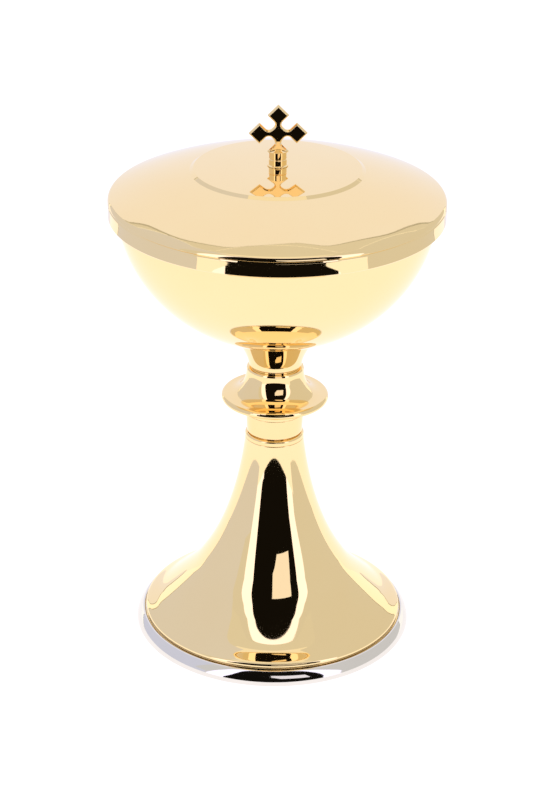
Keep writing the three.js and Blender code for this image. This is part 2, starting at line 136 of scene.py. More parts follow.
# ---------- finishes ----------
@dataclass(frozen=True)
class MetalFinish:
    """A machined and plated metal surface, with what the lathe and the polishing mop leave on it.

    Sizes are in millimetres. Lines are rings round the turning axis; waves are the soft unevenness
    that a mop leaves, which makes reflected edges wander; haze is tired polish in patches.
    """

    name: str
    slot: Slot
    colour: str
    shade: str
    roughness: float
    haze: float
    haze_size: float
    line_spacing: float
    line_depth: float
    wave_size: float
    wave_depth: float
    scratch: float

    def material(self) -> bpy.types.Material:
        """Builds the material.

        Returns:
            A metallic material whose patterns read Object coordinates.
        """
        made = bpy.data.materials.new(self.name)
        made.use_nodes = True
        tree = made.node_tree
        tree.nodes.clear()
        place = add(tree, "ShaderNodeTexCoord").outputs["Object"]
        patches = add(
            tree,
            "ShaderNodeTexNoise",
            inputs={"Vector": place, "Scale": 1 / (self.haze_size * MM), "Detail": 3.0},
        ).outputs["Fac"]
        colour = add(
            tree,
            "ShaderNodeMix",
            {"data_type": "RGBA"},
            {0: patches, 6: linear(self.colour), 7: linear(self.shade)},
        ).outputs[2]
        shader = add(
            tree,
            "ShaderNodeBsdfPrincipled",
            inputs={
                "Base Color": colour,
                "Metallic": 1.0,
                "Roughness": self._roughness(tree, place, patches),
                "Normal": self._relief(tree, place),
            },
        )
        add(tree, "ShaderNodeOutputMaterial", inputs={"Surface": shader.outputs["BSDF"]})
        return made

    def _roughness(
        self, tree: bpy.types.NodeTree, place: bpy.types.NodeSocket, patches: bpy.types.NodeSocket
    ) -> bpy.types.NodeSocket:
        """Roughness from hazy patches and fine wiping scratches.

        Args:
            tree: The material's tree.
            place: Object coordinates.
            patches: Noise that says where the polish is tired.

        Returns:
            The roughness socket.
        """
        bright_below, dull_above = 0.35, 0.75
        no_mark_below, full_mark_above = 0.66, 0.8
        haze = add(
            tree,
            "ShaderNodeMapRange",
            inputs={
                "Value": patches,
                "From Min": bright_below,
                "From Max": dull_above,
                "To Min": self.roughness,
                "To Max": self.roughness + self.haze,
            },
        ).outputs["Result"]
        # Wiping scratches are finer than a hair; they are drawn 0.15 mm wide so that they show at all.
        across, along = 6500.0, 260.0
        wiping = (0.5, 0.3, 0.8)
        wiped = add(
            tree,
            "ShaderNodeMapping",
            inputs={"Vector": place, "Rotation": wiping, "Scale": (across, along, across)},
        ).outputs["Vector"]
        streaks = add(tree, "ShaderNodeTexNoise", inputs={"Vector": wiped, "Scale": 1.0}).outputs["Fac"]
        scratches = add(
            tree,
            "ShaderNodeMapRange",
            inputs={
                "Value": streaks,
                "From Min": no_mark_below,
                "From Max": full_mark_above,
                "To Max": self.scratch,
            },
        ).outputs["Result"]
        return add(tree, "ShaderNodeMath", {"operation": "ADD"}, {0: haze, 1: scratches}).outputs[0]

    def _relief(self, tree: bpy.types.NodeTree, place: bpy.types.NodeSocket) -> bpy.types.NodeSocket:
        """Bump from the polishing waves and the turning lines.

        Args:
            tree: The material's tree.
            place: Object coordinates.

        Returns:
            The normal socket.
        """
        waves = add(
            tree,
            "ShaderNodeTexNoise",
            inputs={"Vector": place, "Scale": 1 / (self.wave_size * MM), "Detail": 0.0},
        ).outputs["Fac"]
        waved = add(
            tree, "ShaderNodeBump", inputs={"Distance": self.wave_depth * MM, "Height": waves}
        ).outputs["Normal"]
        flat = add(
            tree, "ShaderNodeVectorMath", {"operation": "MULTIPLY"}, {0: place, 1: (1.0, 1.0, 0.0)}
        ).outputs["Vector"]
        radius = add(tree, "ShaderNodeVectorMath", {"operation": "LENGTH"}, {0: flat}).outputs["Value"]
        height = add(tree, "ShaderNodeSeparateXYZ", inputs={"Vector": place}).outputs["Z"]
        ring = add(tree, "ShaderNodeCombineXYZ", inputs={"X": radius, "Y": height}).outputs["Vector"]
        lines = add(
            tree,
            "ShaderNodeTexNoise",
            {"noise_dimensions": "2D"},
            {"Vector": ring, "Scale": 1 / (self.line_spacing * MM), "Detail": 1.0},
        ).outputs["Fac"]
        return add(
            tree,
            "ShaderNodeBump",
            inputs={"Distance": self.line_depth * MM, "Height": lines, "Normal": waved},
        ).outputs["Normal"]


# Gold electroplate over spun and mopped brass: a warm, pale yellow mirror whose reflections keep
# crisp edges but wander a little, with faint rings where the spinner's tool passed.
GOLD = MetalFinish(
    name="gold_plate_on_spun_brass",
    slot=Slot.GOLD,
    colour="#FFE6B0",
    shade="#FFE2A8",
    roughness=0.018,
    haze=0.022,
    haze_size=34.0,
    line_spacing=1.1,
    line_depth=0.00035,
    wave_size=16.0,
    wave_depth=0.006,
    scratch=0.05,
)

# The same plating on the solid turned pieces: heavier metal, so shallower waves, and a slightly
# deeper colour.
GOLD_TURNED = MetalFinish(
    name="gold_plate_on_turned_brass",
    slot=Slot.GOLD,
    colour="#FFE4AC",
    shade="#FFDF9F",
    roughness=0.02,
    haze=0.02,
    haze_size=12.0,
    line_spacing=0.7,
    line_depth=0.0003,
    wave_size=9.0,
    wave_depth=0.002,
    scratch=0.05,
)

# Bright silver plate on the turned base ring: a neutral, slightly warm mirror with more wiping marks
# than the gold, because it meets the table and the hands.
SILVER = MetalFinish(
    name="silver_plate_on_turned_brass",
    slot=Slot.SILVER,
    colour="#EEE9E0",
    shade="#E6E0D6",
    roughness=0.03,
    haze=0.04,
    haze_size=18.0,
    line_spacing=0.9,
    line_depth=0.0005,
    wave_size=20.0,
    wave_depth=0.004,
    scratch=0.08,
)

# Bare free-cutting brass as it leaves the lathe: satin, with tool rings that spread the highlight.
BRASS = MetalFinish(
    name="bare_turned_brass",
    slot=Slot.BRASS,
    colour="#D9B56C",
    shade="#B88F4C",
    roughness=0.24,
    haze=0.14,
    haze_size=5.0,
    line_spacing=0.35,
    line_depth=0.004,
    wave_size=6.0,
    wave_depth=0.002,
    scratch=0.1,
)

# Zinc-plated steel fasteners: grey with a cool bloom, duller in patches where the passivation is thick.
STEEL = MetalFinish(
    name="zinc_plated_steel",
    slot=Slot.STEEL,
    colour="#B9BCC0",
    shade="#8F9296",
    roughness=0.3,
    haze=0.2,
    haze_size=2.5,
    line_spacing=0.5,
    line_depth=0.002,
    wave_size=4.0,
    wave_depth=0.004,
    scratch=0.1,
)


# ---------- sections ----------
@dataclass(frozen=True)
class Span:
    """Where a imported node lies, in millimetres: its lowest and highest level and its outer radius."""

    bottom: float
    top: float
    radius: float

    @classmethod
    def of(cls, node: str) -> "Span":
        """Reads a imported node's place from its box."""
        low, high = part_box(node)
        return cls(low.z / MM, high.z / MM, high.x / MM)


@dataclass
class Section:
    """The outline of a turned piece in the plane of radius and height, in millimetres."""

    points: list[Point] = field(default_factory=list)

    @classmethod
    def ring(cls, hole: float, span: Span) -> "Section":
        """The square-edged section of a flat ring that fills a span outside its hole."""
        return cls(
            [(hole, span.bottom), (span.radius, span.bottom), (span.radius, span.top), (hole, span.top)]
        )

    def line(self, *points: Point) -> "Section":
        """Adds corners joined by straight lines."""
        self.points.extend(points)
        return self

    def arc(self, centre: Point, radii: Point, start: float, end: float, step: float = 5.0) -> "Section":
        """Adds an elliptical arc.

        Args:
            centre: Radius and height of the arc's centre.
            radii: Its half width and half height.
            start: Where it starts, in degrees from the outward direction towards the top.
            end: Where it ends.
            step: Most degrees between two points.

        Returns:
            This section.
        """
        count = max(2, math.ceil(abs(end - start) / step))
        for i in range(count + 1):
            angle = math.radians(start + (end - start) * i / count)
            self.points.append(
                (centre[0] + radii[0] * math.cos(angle), centre[1] + radii[1] * math.sin(angle))
            )
        return self

    def rule(self, at: Callable[[float], Point], steps: int) -> "Section":
        """Adds points that follow a rule, for shares of the way from 0 to 1."""
        self.points.extend(at(i / steps) for i in range(steps + 1))
        return self

    def wall(self, outside: Sequence[Point], thickness: float) -> "Section":
        """Adds the inner side of a wall, walked back along its outer side.

        Args:
            outside: Points of the outer side, in the order in which they were walked.
            thickness: The wall's thickness, to the left of the outer side.

        Returns:
            This section.
        """
        last = len(outside) - 1
        for i in range(last, -1, -1):
            before = Vector(outside[max(i - 1, 0)])
            after = Vector(outside[min(i + 1, last)])
            along = (after - before).normalized()
            self.points.append(
                (outside[i][0] - along.y * thickness, outside[i][1] + along.x * thickness)
            )
        return self

    def softened(self, edge_radius: float) -> list[Point]:
        """Rounds the sharp corners, as polishing does.

        A point on each side of a rounding keeps the flats beside it flat.

        Args:
            edge_radius: Radius of a rounded corner, where its sides are long enough.

        Returns:
            The rounded outline.
        """
        sharp_turn = math.radians(12)
        most_of_side = 0.3
        beyond = 1.5
        steps = 4
        places = 5
        closed = all(radius > 0 for radius, _ in self.points)
        apart = dict.fromkeys((round(r, places), round(z, places)) for r, z in self.points)
        corners = [Vector(point) for point in apart]
        rounded: list[Vector] = []
        for i, corner in enumerate(corners):
            ends_on_axis = not closed and i in (0, len(corners) - 1)
            back = corners[i - 1] - corner
            ahead = corners[(i + 1) % len(corners)] - corner
            turn = 0.0 if ends_on_axis else math.pi - back.angle(ahead)
            if turn < sharp_turn:
                rounded.append(corner)
                continue
            reach = min(edge_radius * math.tan(turn / 2), most_of_side * min(back.length, ahead.length))
            start = corner + back.normalized() * reach
            end = corner + ahead.normalized() * reach
            rounded.append(corner + back.normalized() * reach * beyond)
            for k in range(steps + 1):
                share = k / steps
                rounded.append(start.lerp(corner, share).lerp(corner.lerp(end, share), share))
            rounded.append(corner + ahead.normalized() * reach * beyond)
        if closed:
            rounded.append(rounded[0])
        return [(p.x, p.y) for p in rounded]


# ---------- geometry trees ----------
def new_tree(name: str, sizes: dict[str, str]) -> tuple[bpy.types.NodeTree, bpy.types.Node]:
    """Starts a Geometry Nodes tree with a geometry input, named sizes and a finish.

    Args:
        name: The tree's name.
        sizes: Socket type of each named size.

    Returns:
        The tree and its group input node.
    """
    tree = bpy.data.node_groups.new(name, "GeometryNodeTree")
    sockets = {"Blank": "NodeSocketGeometry", **sizes, "Finish": "NodeSocketMaterial"}
    for socket, kind in sockets.items():
        tree.interface.new_socket(socket, in_out="INPUT", socket_type=kind)
    tree.interface.new_socket("Piece", in_out="OUTPUT", socket_type="NodeSocketGeometry")
    return tree, add(tree, "NodeGroupInput")


def end_tree(tree: bpy.types.NodeTree, shape: bpy.types.NodeSocket, finish: bpy.types.NodeSocket) -> None:
    """Ends a Geometry Nodes tree: smooth shading, realized instances and the finish.

    Args:
        tree: The tree.
        shape: The finished geometry.
        finish: The material input.
    """
    smooth = add(tree, "GeometryNodeSetShadeSmooth", inputs={"Geometry": shape})
    whole = add(tree, "GeometryNodeRealizeInstances", inputs={"Geometry": smooth.outputs[0]})
    dressed = add(
        tree,
        "GeometryNodeSetMaterial",
        inputs={"Geometry": whole.outputs[0], "Material": finish},
    )
    add(tree, "NodeGroupOutput", inputs={"Piece": dressed.outputs[0]})


def lathe_tree() -> bpy.types.NodeTree:
    """Turns a section drawn in the XZ plane about Z, and closes its seam and poles.

    Returns:
        A tree with the input Sides.
    """
    tree, given = new_tree("turned_on_the_lathe", {"Sides": "NodeSocketInt"})
    sides = given.outputs["Sides"]
    rows = add(tree, "GeometryNodeAttributeDomainSize", inputs={"Geometry": given.outputs["Blank"]})
    columns = add(tree, "ShaderNodeMath", {"operation": "ADD"}, {0: sides, 1: 1.0}).outputs[0]
    grid = add(
        tree,
        "GeometryNodeMeshGrid",
        inputs={"Vertices X": rows.outputs["Point Count"], "Vertices Y": columns},
    )
    index = add(tree, "GeometryNodeInputIndex").outputs[0]
    share = add(tree, "ShaderNodeMath", {"operation": "DIVIDE"}, {0: index, 1: columns}).outputs[0]
    row = add(tree, "ShaderNodeMath", {"operation": "FLOOR"}, {0: share}).outputs[0]
    column = add(tree, "ShaderNodeMath", {"operation": "MODULO"}, {0: index, 1: columns}).outputs[0]
    turn = add(tree, "ShaderNodeMath", {"operation": "DIVIDE"}, {0: column, 1: sides}).outputs[0]
    angle = add(tree, "ShaderNodeMath", {"operation": "MULTIPLY"}, {0: turn, 1: FULL_TURN}).outputs[0]
    place = add(tree, "GeometryNodeInputPosition").outputs[0]
    drawn = add(
        tree,
        "GeometryNodeSampleIndex",
        {"data_type": "FLOAT_VECTOR"},
        {"Geometry": given.outputs["Blank"], "Value": place, "Index": row},
    )
    turned = add(
        tree,
        "ShaderNodeVectorRotate",
        {"rotation_type": "Z_AXIS"},
        {"Vector": drawn.outputs["Value"], "Angle": angle},
    )
    placed = add(
        tree,
        "GeometryNodeSetPosition",
        inputs={"Geometry": grid.outputs["Mesh"], "Position": turned.outputs["Vector"]},
    )
    merged = add(
        tree,
        "GeometryNodeMergeByDistance",
        inputs={"Geometry": placed.outputs[0], "Distance": 0.001 * MM},
    )
    end_tree(tree, merged.outputs[0], given.outputs["Finish"])
    return tree


def about_axis(tree: bpy.types.NodeTree) -> dict[str, bpy.types.NodeSocket]:
    """Reads where each point lies about the vertical axis.

    Args:
        tree: The tree.

    Returns:
        Sockets for the point's angle, height, radius and outward direction.
    """
    place = add(tree, "GeometryNodeInputPosition").outputs[0]
    split = add(tree, "ShaderNodeSeparateXYZ", inputs={"Vector": place}).outputs
    flat = add(
        tree, "ShaderNodeVectorMath", {"operation": "MULTIPLY"}, {0: place, 1: (1.0, 1.0, 0.0)}
    ).outputs["Vector"]
    return {
        "angle": add(
            tree, "ShaderNodeMath", {"operation": "ARCTAN2"}, {0: split["Y"], 1: split["X"]}
        ).outputs[0],
        "height": split["Z"],
        "radius": add(tree, "ShaderNodeVectorMath", {"operation": "LENGTH"}, {0: flat}).outputs["Value"],
        "outward": add(
            tree, "ShaderNodeVectorMath", {"operation": "NORMALIZE"}, {0: flat}
        ).outputs["Vector"],
    }


def cut_back(
    tree: bpy.types.NodeTree, at: dict[str, bpy.types.NodeSocket], limit: bpy.types.NodeSocket
) -> bpy.types.NodeSocket:
    """Finds where each point goes when a tool cuts it back to a radius.

    Args:
        tree: The tree.
        at: Where the points lie, from about_axis.
        limit: The radius past which metal is cut away.

    Returns:
        The new position.
    """
    kept = add(tree, "ShaderNodeMath", {"operation": "MINIMUM"}, {0: limit, 1: at["radius"]}).outputs[0]
    around = add(
        tree, "ShaderNodeVectorMath", {"operation": "SCALE"}, {0: at["outward"], "Scale": kept}
    ).outputs["Vector"]
    upright = add(tree, "ShaderNodeCombineXYZ", inputs={"Z": at["height"]}).outputs["Vector"]
    return add(
        tree, "ShaderNodeVectorMath", {"operation": "ADD"}, {0: around, 1: upright}
    ).outputs["Vector"]


def thread_tree() -> bpy.types.NodeTree:
    """Cuts a helical groove into the outside of a turned bar.

    Returns:
        A tree with the inputs Radius, Depth, Pitch, Bottom and Top, in metres.
    """
    sizes = {name: "NodeSocketFloat" for name in ("Radius", "Depth", "Pitch", "Bottom", "Top")}
    tree, given = new_tree("cut_thread", sizes)
    at = about_axis(tree)
    size = given.outputs
    turn = add(
        tree, "ShaderNodeMath", {"operation": "DIVIDE"}, {0: at["angle"], 1: FULL_TURN}
    ).outputs[0]
    climb = add(
        tree, "ShaderNodeMath", {"operation": "DIVIDE"}, {0: at["height"], 1: size["Pitch"]}
    ).outputs[0]
    # The groove deepens for half a pitch and rises again for the other half.
    phase = add(tree, "ShaderNodeMath", {"operation": "SUBTRACT"}, {0: climb, 1: turn}).outputs[0]
    flank = add(tree, "ShaderNodeMath", {"operation": "PINGPONG"}, {0: phase, 1: 0.5}).outputs[0]
    groove = add(tree, "ShaderNodeMath", {"operation": "MULTIPLY"}, {0: flank, 1: 2.0}).outputs[0]
    depth = add(
        tree, "ShaderNodeMath", {"operation": "MULTIPLY"}, {0: groove, 1: size["Depth"]}
    ).outputs[0]
    floor = add(
        tree, "ShaderNodeMath", {"operation": "SUBTRACT"}, {0: size["Radius"], 1: depth}
    ).outputs[0]
    moved = cut_back(tree, at, floor)
    above = add(
        tree,
        "FunctionNodeCompare",
        {"operation": "GREATER_EQUAL"},
        {0: at["height"], 1: size["Bottom"]},
    ).outputs[0]
    below = add(
        tree, "FunctionNodeCompare", {"operation": "LESS_EQUAL"}, {0: at["height"], 1: size["Top"]}
    ).outputs[0]
    cut_here = add(tree, "FunctionNodeBooleanMath", {"operation": "AND"}, {0: above, 1: below}).outputs[0]
    placed = add(
        tree,
        "GeometryNodeSetPosition",
        inputs={"Geometry": size["Blank"], "Selection": cut_here, "Position": moved},
    )
    end_tree(tree, placed.outputs[0], size["Finish"])
    return tree


def hexagon_tree() -> bpy.types.NodeTree:
    """Mills six flats on a turned blank, with a corner on +X.

    Returns:
        A tree with the input Flats, the distance across flats in metres.
    """
    tree, given = new_tree("mill_six_flats", {"Flats": "NodeSocketFloat"})
    at = about_axis(tree)
    sixth = FULL_TURN / 6
    wrapped = add(
        tree, "ShaderNodeMath", {"operation": "WRAP"}, {0: at["angle"], 1: sixth, 2: 0.0}
    ).outputs[0]
    off_middle = add(
        tree, "ShaderNodeMath", {"operation": "SUBTRACT"}, {0: wrapped, 1: sixth / 2}
    ).outputs[0]
    slant = add(tree, "ShaderNodeMath", {"operation": "COSINE"}, {0: off_middle}).outputs[0]
    half = add(
        tree, "ShaderNodeMath", {"operation": "MULTIPLY"}, {0: given.outputs["Flats"], 1: 0.5}
    ).outputs[0]
    flat_at = add(tree, "ShaderNodeMath", {"operation": "DIVIDE"}, {0: half, 1: slant}).outputs[0]
    placed = add(
        tree,
        "GeometryNodeSetPosition",
        inputs={
            "Geometry": given.outputs["Blank"],
            "Position": cut_back(tree, at, flat_at),
        },
    )
    end_tree(tree, placed.outputs[0], given.outputs["Finish"])
    return tree


# ---------- workshop ----------
class Workshop:
    """Makes pieces: the trees that turn, thread and mill, and the finishes that dress them."""

    def __init__(self) -> None:
        """Builds the trees and the materials once."""
        self.lathe = lathe_tree()
        self.threader = thread_tree()
        self.mill = hexagon_tree()
        finishes = (GOLD, GOLD_TURNED, SILVER, BRASS, STEEL)
        self.materials = {finish.name: finish.material() for finish in finishes}

    def turn(
        self,
        name: str,
        section: Section,
        finish: MetalFinish,
        sides: Sides = Sides.WIDE,
        edge: float = 0.15,
    ) -> bpy.types.Object:
        """Turns a piece from its section.

        Args:
            name: The piece's name.
            section: Its section in millimetres.
            finish: Its finish.
            sides: How finely it is divided.
            edge: Radius of its polished edges in millimetres.

        Returns:
            The piece, one closed mesh.
        """
        outline = [(radius * MM, 0.0, height * MM) for radius, height in section.softened(edge)]
        mesh = bpy.data.meshes.new(name)
        mesh.from_pydata(outline, [(i, i + 1) for i in range(len(outline) - 1)], [])
        piece = bpy.data.objects.new(name, mesh)
        bpy.context.scene.collection.objects.link(piece)
        self.work(piece, self.lathe, {"Sides": sides.value}, finish)
        return piece

    def work(
        self,
        piece: bpy.types.Object,
        tree: bpy.types.NodeTree,
        sizes: dict[str, float],
        finish: MetalFinish,
    ) -> None:
        """Runs one Geometry Nodes tree on a piece and keeps the result as its mesh.

        Args:
            piece: The piece.
            tree: The tree.
            sizes: Values of the tree's named inputs.
            finish: The finish that the tree sets.
        """
        modifier = piece.modifiers.new(tree.name, "NODES")
        modifier.node_group = tree
        values = {**sizes, "Finish": self.materials[finish.name]}
        for socket in tree.interface.items_tree:
            if socket.in_out == "INPUT" and socket.name in values:
                modifier[socket.identifier] = values[socket.name]
        self.apply(piece)

    def apply(self, piece: bpy.types.Object) -> None:
        """Replaces a piece's mesh by what its modifiers make of it."""
        graph = bpy.context.evaluated_depsgraph_get()
        made = bpy.data.meshes.new_from_object(piece.evaluated_get(graph))
        piece.modifiers.clear()
        piece.data = made

    def from_bmesh(self, name: str, shape: bmesh.types.BMesh, finish: MetalFinish) -> bpy.types.Object:
        """Makes a piece from mesh code.

        Args:
            name: The piece's name.
            shape: Its mesh in metres, freed here.
            finish: Its finish.

        Returns:
            The piece.
        """
        mesh = bpy.data.meshes.new(name)
        shape.to_mesh(mesh)
        shape.free()
        mesh.materials.append(self.materials[finish.name])
        piece = bpy.data.objects.new(name, mesh)
        bpy.context.scene.collection.objects.link(piece)
        return piece

    def place(
        self,
        piece: bpy.types.Object,
        body: Body,
        finish: MetalFinish,
        *nodes: str,
        crease: float | None = 28.0,
    ) -> bpy.types.Object:
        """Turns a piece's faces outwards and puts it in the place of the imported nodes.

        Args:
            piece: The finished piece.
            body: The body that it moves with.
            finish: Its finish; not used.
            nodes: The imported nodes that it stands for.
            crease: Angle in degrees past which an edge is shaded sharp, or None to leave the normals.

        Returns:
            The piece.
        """
        shape = bmesh.new()
        shape.from_mesh(piece.data)
        if shape.calc_volume(signed=True) < 0:
            bmesh.ops.reverse_faces(shape, faces=shape.faces)
            shape.to_mesh(piece.data)
        volume = abs(shape.calc_volume()) / MM**3
        open_edges = sum(1 for edge in shape.edges if not edge.is_manifold)
        shape.free()
        if crease is not None:
            piece.data.shade_smooth()
            piece.data.set_sharp_from_angle(angle=math.radians(crease))
        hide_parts(*nodes)
        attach(piece, body.value)
        faces = len(piece.data.polygons)
        log.info("%s: %d faces, %.0f mm3, %d open edges", piece.name, faces, volume, open_edges)
        return piece


# ---------- pieces that repeat ----------
@dataclass(frozen=True)
class Washer:
    """A plain turned washer."""

    node: str
    hole: float
    body: Body
    finish: MetalFinish

    def build(self, shop: Workshop) -> bpy.types.Object:
        """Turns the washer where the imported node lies."""
        section = Section.ring(self.hole, Span.of(self.node))
        piece = shop.turn(f"{self.node}_turned", section, self.finish, Sides.FASTENER, edge=0.12)
        return shop.place(piece, self.body, self.finish, self.node)


@dataclass(frozen=True)
class SpringWasher:
    """A spring lock washer: a flat ring of square wire with one cut, on the side of +X."""

    node: str
    hole: float
    split: float
    body: Body
    steps: int = 72
    edge: float = 0.12

    def build(self, shop: Workshop) -> bpy.types.Object:
        """Sweeps the wire's section round from one side of the cut to the other.

        Args:
            shop: The workshop.

        Returns:
            The washer.
        """
        ring = Section.ring(self.hole, Span.of(self.node)).softened(self.edge)[:-1]
        shape = bmesh.new()
        rows = []
        for i in range(self.steps + 1):
            row = []
            for radius, height in ring:
                half_gap = math.asin(self.split / 2 / radius)
                angle = half_gap + (FULL_TURN - 2 * half_gap) * i / self.steps
                place = Vector((radius * math.cos(angle), radius * math.sin(angle), height)) * MM
                row.append(shape.verts.new(place))
            rows.append(row)
        for near, far in zip(rows, rows[1:]):
            for k in range(len(ring)):
                after = (k + 1) % len(ring)
                shape.faces.new((near[k], near[after], far[after], far[k]))
        shape.faces.new(reversed(rows[0]))
        shape.faces.new(rows[-1])
        piece = shop.from_bmesh(f"{self.node}_cut", shape, STEEL)
        return shop.place(piece, self.body, STEEL, self.node)


@dataclass(frozen=True)
class HexNut:
    """A hexagon nut, chamfered on both faces and countersunk at the hole."""

    node: str
    hole: float
    body: Body
    finish: MetalFinish
    chamfer_rise: float = 0.45
    sink: float = 0.35
    chamfer_steps: int = 6

    def build(self, shop: Workshop) -> bpy.types.Object:
        """Turns the chamfered blank and mills its flats.

        Args:
            shop: The workshop.

        Returns:
            The nut.
        """
        span = Span.of(self.node)
        flats = span.radius * math.sqrt(3)
        face = flats / 2 - self.sink / 2
        section = Section()
        section.line((self.hole, span.bottom + self.sink), (self.hole + self.sink, span.bottom))
        width = span.radius - face
        rise = self.chamfer_rise
        section.rule(lambda t: (face + width * t, span.bottom + rise * t), self.chamfer_steps)
        section.rule(
            lambda t: (span.radius - width * t, span.top - rise * (1 - t)), self.chamfer_steps
        )
        section.line((self.hole + self.sink, span.top), (self.hole, span.top - self.sink))
        piece = shop.turn(f"{self.node}_milled", section, self.finish, Sides.FASTENER, edge=0.02)
        shop.work(piece, shop.mill, {"Flats": flats * MM}, self.finish)
        return shop.place(piece, self.body, self.finish, self.node)


@dataclass(frozen=True)
class ThreadedBar:
    """A round bar with chamfered ends and a rolled thread on part of its length."""

    node: str
    pitch: float
    threaded: float
    body: Body
    finish: MetalFinish
    rows_per_turn: int = 8
    depth_per_pitch: float = 0.61

    def build(self, shop: Workshop) -> bpy.types.Object:
        """Turns the bar and cuts its thread from the lower end upwards.

        Args:
            shop: The workshop.

        Returns:
            The bar.
        """
        span = Span.of(self.node)
        chamfer = span.radius / 4
        thread_top = min(span.bottom + self.threaded, span.top - chamfer)
        low = span.bottom + chamfer
        steps = round((thread_top - low) / self.pitch * self.rows_per_turn)
        section = Section().line((0.0, span.bottom), (span.radius - chamfer, span.bottom))
        section.rule(lambda t: (span.radius, low + (thread_top - low) * t), steps)
        section.line(
            (span.radius, span.top - chamfer), (span.radius - chamfer, span.top), (0.0, span.top)
        )
        bar = shop.turn(f"{self.node}_threaded", section, self.finish, Sides.FASTENER, edge=0.05)
        sizes = {
            "Radius": span.radius * MM,
            "Depth": self.depth_per_pitch * self.pitch * MM,
            "Pitch": self.pitch * MM,
            "Bottom": span.bottom * MM,
            "Top": thread_top * MM,
        }
        shop.work(bar, shop.threader, sizes, self.finish)
        return shop.place(bar, self.body, self.finish, self.node, crease=50.0)


